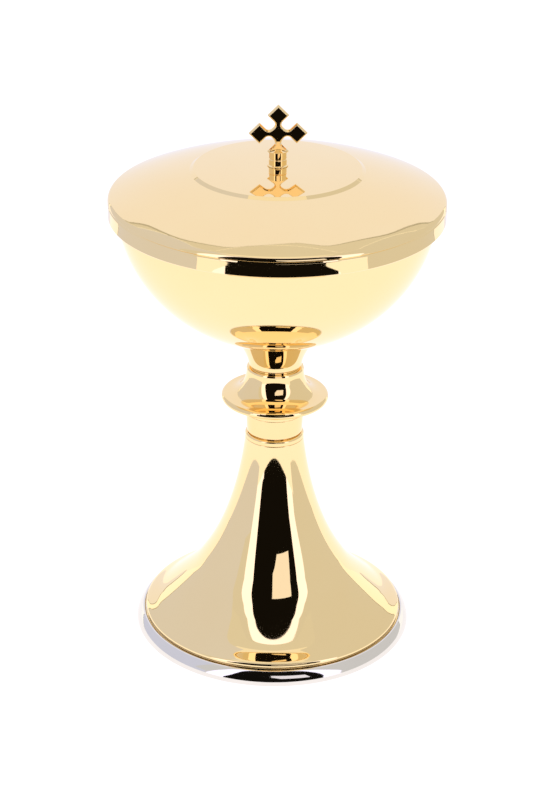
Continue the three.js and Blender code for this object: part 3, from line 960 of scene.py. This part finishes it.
# ---------- foot ----------
@dataclass(frozen=True)
class Foot:
    """The silvered base ring, the spun trumpet foot on it, and the ring that tops it."""

    ring_wall: float = 3.15
    ring_waist: float = 2.2
    ring_undercut: float = 2.15
    ring_seat: float = 0.7
    ring_lip: float = 0.6
    ring_crest: float = 0.35
    ring_knee: float = 0.2
    ring_knee_rise: float = 2.3
    ring_ledge: float = 5.6
    ring_section: float = 9.95
    ring_chamfer: float = 1.2
    bead: float = 1.5
    bead_rise: float = 1.85
    bead_height: float = 1.45
    bead_start_deg: float = 52.0
    bead_inside_deg: tuple[float, float] = (-125.0, -12.0)
    # The skirt's slope in degrees at each radius, chosen by how the metal mirrors the tent.
    slopes: tuple[tuple[float, float], ...] = (
        (55.5, 38), (54.8, 29), (53.2, 27), (51.7, 28), (50.5, 33), (49, 39.3),
        (47, 42), (44, 43), (40, 44.5), (36, 49), (33, 56), (31, 57.5),
    )
    skirt_step: float = 0.02
    steps_per_point: int = 22
    trumpet_start: float = 0.5
    trumpet_rows: int = 72
    row_crowding: float = 1.15
    plate_edge: float = 1.2
    swell: float = 0.7
    swell_height: float = 34.3
    swell_fade: float = 8.0
    wall: float = 0.9
    # The trumpet: constants fitted to the real one's outline, which shows only above a height of 32 mm.
    flare_top: float = 10.1945
    flare_reach: float = 46.0417
    flare_power: float = 3.8153
    flare_height: float = 167.0
    bore: float = 3.3
    top_radius: float = 12.6
    top_ring_edge: float = 0.9

    def build(self, shop: Workshop) -> None:
        """Makes the three pieces.

        Args:
            shop: The workshop.
        """
        ring = shop.turn("base_ring_turned", self.ring_outline(), SILVER, edge=0.25)
        shop.place(ring, Body.VESSEL, SILVER, "base_ring")
        shell = shop.turn("foot_spun", self.shell_outline(), GOLD, edge=0.3)
        shop.place(shell, Body.VESSEL, GOLD, "foot_shell")
        cap = shop.turn("foot_top_ring_turned", self.top_ring_outline(), GOLD_TURNED, Sides.STEM)
        shop.place(cap, Body.VESSEL, GOLD_TURNED, "foot_top_ring")

    def ring_outline(self) -> Section:
        """Outline of the base ring: a bulging outside, a seat for the foot and a chamfered bore."""
        span = Span.of("base_ring")
        lip = span.radius - self.ring_wall
        foot_cos = (self.ring_wall - self.ring_undercut) / self.ring_wall
        foot_deg = math.degrees(math.acos(foot_cos))
        lower = self.ring_waist / math.sqrt(1 - foot_cos**2)
        seat = span.top - self.ring_seat
        bore = span.radius - self.ring_section
        section = Section().arc((lip, self.ring_waist), (self.ring_wall, lower), -foot_deg, 0)
        face = Vector((lip + self.ring_crest, span.top - self.ring_crest / 2))
        belly = Vector((span.radius, self.ring_waist))
        knee = Vector((span.radius - self.ring_knee, self.ring_waist + self.ring_knee_rise))

        def front(t: float) -> Point:
            """A point of the ring's face, from its belly up to its crest."""
            p = belly.lerp(knee, t).lerp(knee.lerp(face, t), t)
            return (p.x, p.y)

        face_steps = 24
        section.rule(front, face_steps)
        return section.line(
            (lip - self.ring_lip / 2, span.top),
            (lip - self.ring_lip, seat),
            (lip - self.ring_ledge, seat),
            (bore, seat - self.ring_chamfer),
            (bore, span.bottom),
        )

    def flare(self, height: float) -> float:
        """Outer radius of the trumpet at a height: it opens downwards with a power of the distance."""
        trumpet = self.flare_top + self.flare_reach * (1 - height / self.flare_height) ** self.flare_power
        return trumpet + self.swell * math.exp(min(0.0, self.swell_height - height) / self.swell_fade)

    def shell_outline(self) -> Section:
        """Outline of the spun foot: beaded edge, skirt, trumpet and clamping plate, and its inside."""
        span = Span.of("foot_shell")
        bead = (span.radius - self.bead, span.bottom + self.bead_rise)
        edge = Section().arc(bead, (self.bead, self.bead_height), 0, self.bead_start_deg, 4.0).points
        trumpet = self.skirt(edge[-1])
        low = trumpet[-1][1] + self.trumpet_start
        climb = span.top - self.plate_edge - low
        for i in range(self.trumpet_rows + 1):
            height = low + climb * (i / self.trumpet_rows) ** self.row_crowding
            trumpet.append((self.flare(height), height))
        section = Section(edge + trumpet)
        section.line((self.top_radius, span.top), (self.bore, span.top))
        section.line((self.bore, span.top - self.wall))
        section.wall(trumpet[3::2], self.wall)
        section.arc(bead, (self.bead, self.bead_rise), *self.bead_inside_deg, 8.0)
        return section

    def skirt(self, start: Point) -> list[Point]:
        """The foot's low skirt, drawn inwards by its slopes until the trumpet's rule takes over.

        Args:
            start: Where the bead ends.

        Returns:
            Points from the bead inwards.
        """
        radius, height = start
        points = []
        count = 0
        while self.flare(height) < radius:
            height += self.skirt_step * math.tan(math.radians(self.slope(radius)))
            radius -= self.skirt_step
            count += 1
            if count % self.steps_per_point == 0:
                points.append((radius, height))
        return points

    def slope(self, radius: float) -> float:
        """The skirt's slope in degrees at a radius, eased between the rows of its table."""
        for (outer, first), (inner, last) in zip(self.slopes, self.slopes[1:]):
            if outer >= radius >= inner:
                return first + (last - first) * (outer - radius) / (outer - inner)
        return self.slopes[-1][1]

    def top_ring_outline(self) -> Section:
        """Outline of the flat ring on top of the foot, rounded at its upper edge."""
        span = Span.of("foot_top_ring")
        edge = self.top_ring_edge
        section = Section().line((self.bore, span.bottom), (span.radius, span.bottom))
        section.arc((span.radius - edge, span.top - edge), (edge, edge), 0, 90, 6.0)
        return section.line((self.bore, span.top))


# ---------- stem ----------
@dataclass(frozen=True)
class Stem:
    """The turned pieces threaded on the tie rod between the foot and the bowl."""

    bore: float = 3.3
    collar_foot: float = 11.9
    edge_break: float = 0.3
    knop_body: float = 12.2
    knop_rim_thickness: float = 3.0
    knop_rim_end_deg: float = 84.0
    knop_cove_power: float = 2.3
    knop_rim_height: float = 7.3
    knop_top_edge: float = 0.7
    neck_foot: float = 11.35
    neck_foot_edge: float = 0.6
    neck_power: float = 1.5
    neck_lip: float = 0.2
    socket: float = 8.4
    socket_floor: float = 3.1
    braze_gap: float = 0.1

    def build(self, shop: Workshop, cup: "Cup") -> None:
        """Makes the stem's pieces and dresses the hidden boss.

        Args:
            shop: The workshop.
            cup: The cup, whose curve the neck follows.
        """
        outlines = {
            "lower_collar": self.collar_outline(),
            "knop": self.knop_outline(),
            "neck_collar": self.neck_outline(cup),
        }
        for node, section in outlines.items():
            piece = shop.turn(f"{node}_turned", section, GOLD_TURNED, Sides.STEM, edge=0.12)
            shop.place(piece, Body.VESSEL, GOLD_TURNED, node)
        for node in ("lower_joint_washer", "upper_joint_washer"):
            Washer(node, self.bore, Body.VESSEL, GOLD_TURNED).build(shop)
        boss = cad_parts["bowl_boss"]
        boss.material_slots[0].material = shop.materials[BRASS.name]
        log.info("bowl_boss keeps its packed shape")

    def collar_outline(self) -> Section:
        """Outline of the plain collar under the knop, a little wider at its top."""
        span = Span.of("lower_collar")
        return Section().line(
            (self.bore, span.bottom),
            (self.collar_foot - self.edge_break, span.bottom),
            (self.collar_foot, span.bottom + self.edge_break),
            (span.radius, span.top),
            (self.bore, span.top),
        )

    def knop_outline(self) -> Section:
        """Outline of the knop: two coves that run out into a round rim."""
        span = Span.of("knop")
        collar = Span.of("lower_collar").radius
        rim = self.knop_rim_thickness / 2
        rim_at = (span.radius - rim, span.bottom + self.knop_rim_height)
        cove_top = span.top - self.knop_top_edge
        lower = (rim_at[0] - collar, rim_at[1] - rim - span.bottom)
        upper = (rim_at[0] - self.knop_body, cove_top - rim_at[1] - rim)
        section = Section().line((self.bore, span.bottom))
        section.arc((rim_at[0], span.bottom), lower, 180, 90, 2.5)
        section.arc(rim_at, (rim, rim), -self.knop_rim_end_deg, self.knop_rim_end_deg, 12.0)

        def cove(t: float) -> Point:
            """A point of the upper cove, from the rim in and up to the body: squarer than an ellipse."""
            angle = t * math.pi / 2
            power = 2 / self.knop_cove_power
            return (
                rim_at[0] - upper[0] * math.sin(angle) ** power,
                cove_top - upper[1] * math.cos(angle) ** power,
            )

        cove_steps = 60
        section.rule(cove, cove_steps)
        return section.line((self.knop_body - self.knop_top_edge / 2, span.top), (self.bore, span.top))

    def neck_outline(self, cup: "Cup") -> Section:
        """Outline of the neck, which flares up to the bowl and is hollow for the boss.

        Args:
            cup: The cup that it is brazed to.

        Returns:
            The section.
        """
        span = Span.of("neck_collar")
        flare_bottom = span.bottom + self.neck_foot_edge
        height = span.top - flare_bottom
        flare_steps, bowl_steps = 44, 12
        section = Section().line(
            (self.bore, span.bottom), (self.neck_foot - self.neck_foot_edge, span.bottom)
        )

        def flared(t: float) -> Point:
            """A point of the neck's outside, from its foot up to its rim."""
            spread = (span.radius - self.neck_foot) * t**self.neck_power
            return (self.neck_foot + spread, flare_bottom + height * t)

        def under_bowl(t: float) -> Point:
            """A point just under the bowl, from the neck's rim in to the socket."""
            radius = span.radius - self.neck_lip + (self.socket - span.radius + self.neck_lip) * t
            return (radius, cup.outside(radius) - self.braze_gap)

        section.rule(flared, flare_steps)
        section.rule(under_bowl, bowl_steps)
        floor = span.bottom + self.socket_floor
        return section.line((self.socket, floor), (self.bore, floor))


# ---------- cup ----------
@dataclass(frozen=True)
class Cup:
    """The spun bowl: half an ellipsoid of even wall, with a rounded lip."""

    depth: float = 62.75
    wall: float = 1.1
    lip_below_middle: float = 2.2
    lip_rounding_deg: float = 0.3

    def middle(self) -> float:
        """Height of the ellipsoid's middle."""
        return Span.of("bowl_shell").bottom + self.depth

    def outside(self, radius: float) -> float:
        """Height of the outside at a radius."""
        return self.middle() - self.depth * math.sqrt(1 - (radius / Span.of("bowl_shell").radius) ** 2)

    def build(self, shop: Workshop) -> None:
        """Spins the bowl.

        Args:
            shop: The workshop.
        """
        span = Span.of("bowl_shell")
        lip_deg = -math.degrees(math.asin(self.lip_below_middle / self.depth))
        wall_end_deg = lip_deg - self.lip_rounding_deg
        middle = (0.0, self.middle())
        outer = (span.radius, self.depth)
        inner = (span.radius - self.wall, self.depth - self.wall)
        section = Section().arc(middle, outer, -90, wall_end_deg, 1.0)
        section.line((span.radius - self.wall / 2, self.middle() - self.lip_below_middle))
        section.arc(middle, inner, wall_end_deg, -90, 1.0)
        section.points[0] = (0.0, section.points[0][1])
        section.points[-1] = (0.0, section.points[-1][1])
        bowl = shop.turn("bowl_spun", section, GOLD, edge=0.4)
        shop.place(bowl, Body.VESSEL, GOLD, "bowl_shell")


# ---------- lid ----------
@dataclass(frozen=True)
class Lid:
    """The lid: a flat band round the cup's lip, a spun dome with a raised platform, a locating ring."""

    dome: float = 170.0
    wall: float = 0.9
    shoulder: float = 2.0
    stand: float = 0.2
    ledge: float = 0.55
    ledge_drop: float = 0.7
    platform: float = 36.0
    platform_bevel: float = 1.6
    platform_crown: float = 0.95
    seat: float = 6.6
    hole: float = 2.05
    band_edge: float = 0.45
    band_belly: float = 0.04
    belly_easing: float = 0.25
    shelf: float = 1.2
    cup_clearance: float = 0.6
    sleeve_gap: float = 0.05
    sleeve_wall: float = 1.0
    sleeve_lead: float = 0.6

    def build(self, shop: Workshop) -> None:
        """Makes the three pieces.

        Args:
            shop: The workshop.
        """
        shell = shop.turn("lid_dome_spun", self.shell_outline(), GOLD, edge=0.35)
        shop.place(shell, Body.LID, GOLD, "lid_shell")
        band = shop.turn("lid_band_turned", self.band_outline(), GOLD, edge=0.18)
        shop.place(band, Body.LID, GOLD, "lid_band")
        sleeve = shop.turn("lid_locating_ring_turned", self.sleeve_outline(), GOLD, edge=0.2)
        shop.place(sleeve, Body.LID, GOLD, "lid_locating_ring")

    def shell_outline(self) -> Section:
        """Outline of the dome: shoulder, shallow sphere, platform with a slanting riser, and its inside."""
        span = Span.of("lid_shell")
        centre = (span.radius - self.shoulder, span.bottom + self.stand)
        slope = math.asin(centre[0] / (self.dome - self.shoulder))
        shoulder = Section().arc(centre, (self.shoulder, self.shoulder), 0, 90 - math.degrees(slope), 3.0)
        edge = shoulder.points[-1]
        base = edge[1] - math.sqrt(self.dome**2 - edge[0] ** 2)

        def on_dome(t: float) -> Point:
            """A point of the dome, from the shoulder in to the platform."""
            radius = edge[0] + (self.platform - edge[0]) * t
            return (radius, base + math.sqrt(self.dome**2 - radius**2))

        def on_platform(t: float) -> Point:
            """A point of the slightly domed platform, from its edge in to the finial's seat."""
            reach = self.platform - self.platform_bevel - self.seat
            return (self.seat + reach * (1 - t), span.top - self.platform_crown * (1 - t) ** 2)

        dome_steps, platform_steps = 60, 24
        outside = shoulder.points + Section().rule(on_dome, dome_steps).points[1:]
        outside += Section().rule(on_platform, platform_steps).points
        section = Section().line((span.radius - self.ledge, span.bottom))
        section.line(*outside)
        section.line((self.hole, span.top), (self.hole, span.top - self.wall))
        section.wall(outside, self.wall)
        return section.line((span.radius - self.ledge - self.wall, span.bottom))

    def band_outline(self) -> Section:
        """Outline of the band: hollowed a little outside, with a light-catching ledge at its top."""
        span = Span.of("lid_band")
        inner = Span.of("bowl_shell").radius + self.cup_clearance
        sleeve = Span.of("lid_locating_ring").radius + self.sleeve_gap
        low = span.bottom + self.band_edge
        high = span.top - self.ledge_drop

        def outside(t: float) -> Point:
            """A point of the band's hollowed outside, from the bottom edge up to the ledge."""
            hollow = self.band_belly * math.sin(math.pi * t) * (1 - self.belly_easing * t)
            return (span.radius - hollow - self.band_belly / 2 * t**2, low + (high - low) * t)

        section = Section().line((inner, span.bottom), (span.radius - self.band_edge, span.bottom))
        band_steps = 16
        section.rule(outside, band_steps)
        return section.line(
            (span.radius - self.ledge, span.top),
            (sleeve, span.top),
            (sleeve, span.top - self.shelf),
            (inner, span.top - self.shelf),
        )

    def sleeve_outline(self) -> Section:
        """Outline of the ring that centres the lid in the cup, with a lead-in at its lower edge."""
        span = Span.of("lid_locating_ring")
        inner = span.radius - self.sleeve_wall
        return Section().line(
            (inner, span.bottom),
            (span.radius - self.sleeve_lead / 2, span.bottom),
            (span.radius, span.bottom + self.sleeve_lead),
            (span.radius, span.top),
            (inner, span.top),
        )


# ---------- finial ----------
@dataclass(frozen=True)
class Finial:
    """The turned post and the cross of five lozenges that stands in its slot."""

    turn_deg: float = 3.0
    post: float = 3.7
    post_height: float = 6.2
    flange: float = 4.3
    flange_height: float = 0.6
    groove: float = 0.25
    groove_half: float = 0.35
    cap: float = 1.2
    stud_hole: float = 2.05
    stud_hole_depth: float = 2.7
    slot_width: float = 2.9
    slot_floor: float = 2.45
    thickness: float = 2.6
    bevel: float = 0.8
    bevel_width: float = 0.55
    half: float = 4.4
    pitch: float = 7.6
    notch: float = 1.8
    tenon: float = 2.3
    polish: float = 0.14
    sharp_deg: float = 25.0

    def build(self, shop: Workshop) -> None:
        """Makes the post and the cross.

        Args:
            shop: The workshop.
        """
        self.build_post(shop)
        self.build_cross(shop)

    def build_post(self, shop: Workshop) -> None:
        """Turns the post and saws its slot.

        Args:
            shop: The workshop.
        """
        span = Span.of("finial_post")
        waist = span.bottom + self.post_height / 2
        top = span.bottom + self.post_height
        hole_top = span.bottom + self.stud_hole_depth
        section = Section().line(
            (0.0, hole_top),
            (self.stud_hole, hole_top),
            (self.stud_hole, span.bottom),
            (self.flange, span.bottom),
            (self.flange, span.bottom + self.flange_height / 2),
            (self.post, span.bottom + self.flange_height),
        )
        section.arc((self.post, waist), (self.groove, self.groove_half), 270, 90, 20.0)
        section.line((self.post, top), (self.cap, span.top), (0.0, span.top))
        post = shop.turn("finial_post_turned", section, GOLD_TURNED, Sides.FASTENER, edge=0.12)
        saw = bmesh.new()
        height = 4 * self.post_height
        floor = top - self.slot_floor
        frame_at = Matrix.Translation((0, 0, (floor + height / 2) * MM)) @ self.turned()
        size = Matrix.Diagonal((4 * self.post * MM, self.slot_width * MM, height * MM, 1.0))
        bmesh.ops.create_cube(saw, size=1.0, matrix=frame_at @ size)
        blade = shop.from_bmesh("saw_blade", saw, GOLD_TURNED)
        cut = post.modifiers.new("slot", "BOOLEAN")
        cut.operation = "DIFFERENCE"
        cut.solver = "EXACT"
        cut.object = blade
        shop.apply(post)
        bpy.data.objects.remove(blade)
        shop.place(post, Body.LID, GOLD_TURNED, "finial_post")

    def turned(self) -> Matrix:
        """The cross's small turn about the vertical."""
        return Matrix.Rotation(math.radians(self.turn_deg), 4, "Z")

    def arm(self, cut_flat: bool) -> list[Point]:
        """Half the cross's outline along one arm: from its notch, round its lozenge, to the next notch.

        Args:
            cut_flat: Whether the lozenge is cut flat, as the lowest one is to stand in the slot.

        Returns:
            Points along and across the arm, in millimetres.
        """
        centre = (self.pitch / 2, self.half - self.pitch / 2 + self.notch * math.sqrt(2))
        rounded = Section().arc(centre, (self.notch, self.notch), 315, 225, 9.0).points[:-1]
        mirrored = [(along, -across) for along, across in reversed(rounded)]
        if cut_flat:
            end = self.pitch + self.tenon
            tip = [(end, self.tenon - self.half), (end, self.half - self.tenon)]
        else:
            tip = [(self.pitch + self.half, 0.0)]
        side = [*mirrored, (self.pitch, -self.half), *tip, (self.pitch, self.half), *rounded]
        return [*side, (self.half / 2, self.half / 2)]

    def build_cross(self, shop: Workshop) -> None:
        """Cuts the cross from plate, files its bevels and polishes its edges.

        Args:
            shop: The workshop.
        """
        centre = (Span.of("finial_cross").bottom + self.tenon + self.pitch) * MM
        flat = self.thickness / 2 - self.bevel
        downwards = 3
        outline: list[Vector] = []
        for quarter in range(4):
            turn = Matrix.Rotation(quarter * math.pi / 2, 2)
            outline += [turn @ Vector(point) for point in self.arm(cut_flat=quarter == downwards)]
        shape = bmesh.new()
        front = [shape.verts.new((x * MM, -flat * MM, z * MM + centre)) for x, z in outline]
        back = [shape.verts.new((x * MM, flat * MM, z * MM + centre)) for x, z in outline]
        faces = [shape.faces.new(front), shape.faces.new(reversed(back))]
        for i, here in enumerate(front):
            after = (i + 1) % len(front)
            shape.faces.new((front[after], here, back[i], back[after]))
        bmesh.ops.remove_doubles(shape, verts=shape.verts, dist=0.001 * MM)
        bmesh.ops.recalc_face_normals(shape, faces=shape.faces)
        bmesh.ops.inset_region(
            shape,
            faces=[face for face in faces if face.is_valid],
            thickness=self.bevel_width * MM,
            depth=self.bevel * MM,
            use_even_offset=True,
        )
        bmesh.ops.transform(shape, matrix=self.turned(), verts=shape.verts)
        cross = shop.from_bmesh("finial_cross_filed", shape, GOLD_TURNED)
        cross.data.shade_smooth()
        rounding = cross.modifiers.new("polished_edges", "BEVEL")
        rounding.width = self.polish * MM
        rounding.segments = 3
        rounding.limit_method = "ANGLE"
        rounding.angle_limit = math.radians(self.sharp_deg)
        rounding.harden_normals = True
        shop.apply(cross)
        shop.place(cross, Body.LID, GOLD_TURNED, "finial_cross", crease=None)


# ---------- fasteners ----------
@dataclass(frozen=True)
class Fasteners:
    """What holds the foot, stem and bowl together, and what holds the finial on the lid."""

    rod_bore: float = 3.3
    rod_nut_hole: float = 3.05
    rod_pitch: float = 1.0
    rod_thread: float = 17.0
    rod_split: float = 1.2
    stud_hole: float = 2.05
    stud_pitch: float = 0.7
    stud_split: float = 0.8

    def build(self, shop: Workshop) -> None:
        """Makes both sets: bar, washer, spring washer and nut.

        Args:
            shop: The workshop.
        """
        stud_length = Span.of("finial_stud").top - Span.of("finial_stud").bottom
        vessel, lid = Body.VESSEL, Body.LID
        ThreadedBar("tie_rod", self.rod_pitch, self.rod_thread, vessel, STEEL).build(shop)
        Washer("foot_clamp_washer", self.rod_bore, vessel, BRASS).build(shop)
        SpringWasher("foot_lock_washer", self.rod_bore, self.rod_split, vessel).build(shop)
        HexNut("foot_nut", self.rod_nut_hole, vessel, STEEL).build(shop)
        ThreadedBar("finial_stud", self.stud_pitch, stud_length, lid, BRASS).build(shop)
        Washer("finial_washer", self.stud_hole, lid, BRASS).build(shop)
        SpringWasher("finial_lock_washer", self.stud_hole, self.stud_split, lid).build(shop)
        HexNut("finial_nut", self.stud_hole, lid, BRASS, chamfer_rise=0.3, sink=0.25).build(shop)


# ---------- studio ----------
@dataclass(frozen=True)
class Panel:
    """One flat sheet of the light tent: its corners in millimetres and the light that it gives."""

    name: str
    corners: tuple[tuple[float, float, float], ...]
    light: Light
    seen: bool = False

    def build(self) -> None:
        """Hangs the sheet. An unseen one still shows in the metal; a seen one is clear from behind."""
        material = bpy.data.materials.new(self.name)
        material.use_nodes = True
        tree = material.node_tree
        tree.nodes.clear()
        glow = add(tree, "ShaderNodeEmission", inputs={"Color": (*self.light, 1.0)}).outputs[0]
        if self.seen:
            behind = add(tree, "ShaderNodeNewGeometry").outputs["Backfacing"]
            clear = add(tree, "ShaderNodeBsdfTransparent").outputs[0]
            glow = add(tree, "ShaderNodeMixShader", inputs={0: behind, 1: glow, 2: clear}).outputs[0]
        add(tree, "ShaderNodeOutputMaterial", inputs={"Surface": glow})
        shape = bmesh.new()
        shape.faces.new([shape.verts.new(Vector(corner) * MM) for corner in self.corners])
        bmesh.ops.triangulate(shape, faces=shape.faces)
        mesh = bpy.data.meshes.new(self.name)
        shape.to_mesh(mesh)
        shape.free()
        mesh.materials.append(material)
        sheet = bpy.data.objects.new(self.name, mesh)
        sheet.visible_camera = self.seen
        bpy.context.scene.collection.objects.link(sheet)


def smooth_loop(corners: Sequence[Point], steps: int = 5) -> list[Point]:
    """Runs a smooth closed curve through corners.

    Args:
        corners: The corners, in order.
        steps: Points for each stretch.

    Returns:
        Points of the curve.
    """
    count = len(corners)
    curve: list[Point] = []
    for i in range(count):
        before, here, after, beyond = (Vector(corners[(i + k) % count]) for k in (-1, 0, 1, 2))
        for k in range(steps):
            t = k / steps
            p = here * 2 + (after - before) * t
            p += (before * 2 - here * 5 + after * 4 - beyond) * t**2
            p += (here * 3 - before - after * 3 + beyond) * t**3
            curve.append((p.x / 2, p.y / 2))
    return curve


def rectangle(low: Point, high: Point) -> tuple[Point, ...]:
    """The four corners between a lowest and a highest one."""
    return (low, (high[0], low[1]), high, (low[0], high[1]))


def level_sheet(
    name: str, height: float, outline: Sequence[Point], light: Light, seen: bool = False
) -> Panel:
    """A level sheet, from its outline in x and y."""
    return Panel(name, tuple((x, y, height) for x, y in outline), light, seen)


def front_sheet(name: str, depth: float, outline: Sequence[Point], light: Light) -> Panel:
    """A sheet that faces the front or back, from its outline in x and z."""
    return Panel(name, tuple((x, depth, z) for x, z in outline), light)


def side_sheet(name: str, side: float, outline: Sequence[Point], light: Light) -> Panel:
    """A sheet at one side, from its outline in y and z."""
    return Panel(name, tuple((side, y, z) for y, z in outline), light)


@dataclass(frozen=True)
class Studio:
    """A white light tent with an arched opening at the front, a floor sheet and the camera.

    The outlines of the window, opening, border and backdrop were worked back from the reflections in
    the real metal, then rounded and adjusted. Colours of the sheets are chosen together with the gold's.
    """

    camera_distance: float = 894.0
    camera_height: float = 533.5
    camera_pitch: float = 0.4453
    camera_yaw: float = -0.0040
    camera_roll: float = 0.0106
    lens: float = 104.36
    background: float = 1.2
    floor_light: Light = (1.14, 1.12, 1.18)
    wall_left: Light = (0.72, 0.745, 0.91)
    wall_right: Light = (0.72, 0.72, 0.74)
    ceiling_light: Light = (0.74, 0.74, 0.75)
    top_light: Light = (0.95, 0.93, 0.9)
    back_light: Light = (0.93, 0.94, 1.09)
    border_light: Light = (1.35, 1.33, 1.7)
    dark: Light = (0.006, 0.005, 0.004)
    seam: Light = (0.5, 0.49, 0.48)
    window_light: Light = (1.0, 0.96, 1.05)
    half_wide: float = 2200
    high: float = 1300
    side_at: float = 345
    floor_front: float = -450
    floor_back: float = 3000
    front_at: float = -600
    back_at: float = 450
    layer: float = 2.0

    def build(self) -> None:
        """Puts up the tent, the background and the camera."""
        self.hang_level_sheets()
        self.hang_front_sheets()
        self.hang_back_sheets()
        self.hang_side_sheets()
        self.build_background()
        self.build_camera()

    def hang_level_sheets(self) -> None:
        """Lays the floor and hangs the ceiling with the lit part just under it."""
        wide = self.half_wide
        floor = rectangle((-wide, self.floor_front), (wide, self.floor_back))
        level_sheet("floor", 0, floor, self.floor_light, seen=True).build()
        ceiling = rectangle((-wide, self.front_at), (wide, self.back_at))
        level_sheet("ceiling", self.high, ceiling, self.ceiling_light).build()
        lit = rectangle((-500, -330), (500, 230))
        level_sheet("top_light", self.high - 2 * self.layer, lit, self.top_light).build()

    def hang_front_sheets(self) -> None:
        """Hangs what stands before the vessel: a window, the dark opening and its bright border.

        The small card near the finial is there only to give the cross's mirror image its colour.
        """
        window = (
            (45, 166), (62, 178), (38, 190), (20, 205), (26, 216),
            (0, 226), (-3, 318), (196, 322), (206, 166),
        )
        opening = (
            (-330, -250), (-330, -30), (-430, 0), (-437, 90), (-419, 184), (-392, 336), (-375, 518),
            (-365, 700), (-350, 900), (-295, 1060), (-150, 1120), (60, 1135), (260, 1115), (385, 1050),
            (450, 900), (490, 700), (510, 518), (512, 336), (505, 184), (480, 90), (450, 0), (465, -250),
        )
        border = (
            (-640, -250), (-735, -40), (-700, 300), (-655, 615), (-610, 850), (-530, 1090), (-330, 1230),
            (20, 1285), (390, 1235), (590, 1130), (710, 960), (800, 760), (870, 560), (900, 300),
            (780, -40), (976, -250),
        )
        reflector = rectangle((-25, 254), (60, 312))
        wall = rectangle((-self.half_wide, -400), (self.half_wide, self.high + 50))
        window_at, reflector_at, opening_at = -360, -100, self.front_at + 10
        front_sheet("window", window_at, window, self.window_light).build()
        front_sheet("finial_reflector", reflector_at, reflector, self.window_light).build()
        front_sheet("dark_opening", opening_at, smooth_loop(opening), self.dark).build()
        border_at = self.front_at + 3 * self.layer
        front_sheet("bright_border", border_at, smooth_loop(border), self.border_light).build()
        front_sheet("front_wall", self.front_at, wall, self.wall_right).build()

    def hang_back_sheets(self) -> None:
        """Hangs the backdrop, the dark seam round it and the wall behind."""
        corners = (
            (-305, 0), (-310, 480), (-335, 930), (-240, 1240), (-130, 1290), (0, 1275), (110, 1220),
            (232, 1190), (322, 850), (314, 600), (300, 400), (300, 0),
        )
        seam_wider, seam_taller = 1.022, 1.008
        backdrop = smooth_loop(corners)
        seam = [(x * seam_wider, z * seam_taller) for x, z in backdrop]
        wall = rectangle((-self.side_at, 250), (self.side_at, self.high))
        front_sheet("backdrop", self.back_at - self.layer, backdrop, self.back_light).build()
        front_sheet("backdrop_seam", self.back_at, seam, self.seam).build()
        front_sheet("back_wall", self.back_at + self.layer, wall, self.ceiling_light).build()

    def hang_side_sheets(self) -> None:
        """Hangs the two side walls, a dark seam along the slanting rear edge of each, and the low wing."""
        top = ((self.back_at, 350), (self.back_at, self.high))
        left = ((-200, 0), (170, 0), (300, 60), *top, (-200, self.high))
        right = ((-215, 0), (120, 0), (230, 50), *top, (-215, self.high))
        seam_back, seam_down, proud = 9, -2, 1
        for name, side, wall in (("left_seam", -1, left), ("right_seam", 1, right)):
            rear = wall[1:4]
            strip = [*rear, *((y + seam_back, z + seam_down) for y, z in reversed(rear))]
            side_sheet(name, side * (self.side_at - proud), strip, self.seam).build()
        wing = rectangle((-285, 0), (-200, 110))
        side_sheet("left_wing", -self.side_at, wing, self.wall_left).build()
        side_sheet("left_wall", -self.side_at, left, self.wall_left).build()
        side_sheet("right_wall", self.side_at, right, self.wall_right).build()

    def build_background(self) -> None:
        """Makes the world plain white."""
        world = bpy.data.worlds.new("white_background")
        world.use_nodes = True
        tree = world.node_tree
        tree.nodes.clear()
        inputs = {"Color": (1.0, 1.0, 1.0, 1.0), "Strength": self.background}
        white = add(tree, "ShaderNodeBackground", inputs=inputs)
        add(tree, "ShaderNodeOutputWorld", inputs={"Surface": white.outputs[0]})
        bpy.context.scene.world = world
        bpy.context.scene.view_settings.view_transform = "Standard"

    def build_camera(self) -> None:
        """Sets the camera in front of the tent, looking down on the vessel."""
        pitch, yaw = self.camera_pitch, self.camera_yaw
        forward = Vector(
            (math.sin(yaw) * math.cos(pitch), math.cos(yaw) * math.cos(pitch), -math.sin(pitch))
        )
        level = forward.cross(Vector((0, 0, 1))).normalized()
        up = level.cross(forward)
        right = level * math.cos(self.camera_roll) + up * math.sin(self.camera_roll)
        top = up * math.cos(self.camera_roll) - level * math.sin(self.camera_roll)
        turn = Matrix((right, top, -forward)).transposed().to_4x4()
        place = Matrix.Translation(Vector((0, -self.camera_distance, self.camera_height)) * MM)
        data = bpy.data.cameras.new("camera")
        data.lens = self.lens
        data.clip_start = 0.01
        camera = bpy.data.objects.new("camera", data)
        camera.matrix_world = place @ turn
        bpy.context.scene.collection.objects.link(camera)
        bpy.context.scene.camera = camera


def main() -> None:
    """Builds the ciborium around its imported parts."""
    logging.basicConfig(level=logging.INFO, format="%(name)s: %(message)s")
    Studio().build()
    shop = Workshop()
    cup = Cup()
    Foot().build(shop)
    Stem().build(shop, cup)
    cup.build(shop)
    Lid().build(shop)
    Finial().build(shop)
    Fasteners().build(shop)


if __name__ == "__main__":
    main()
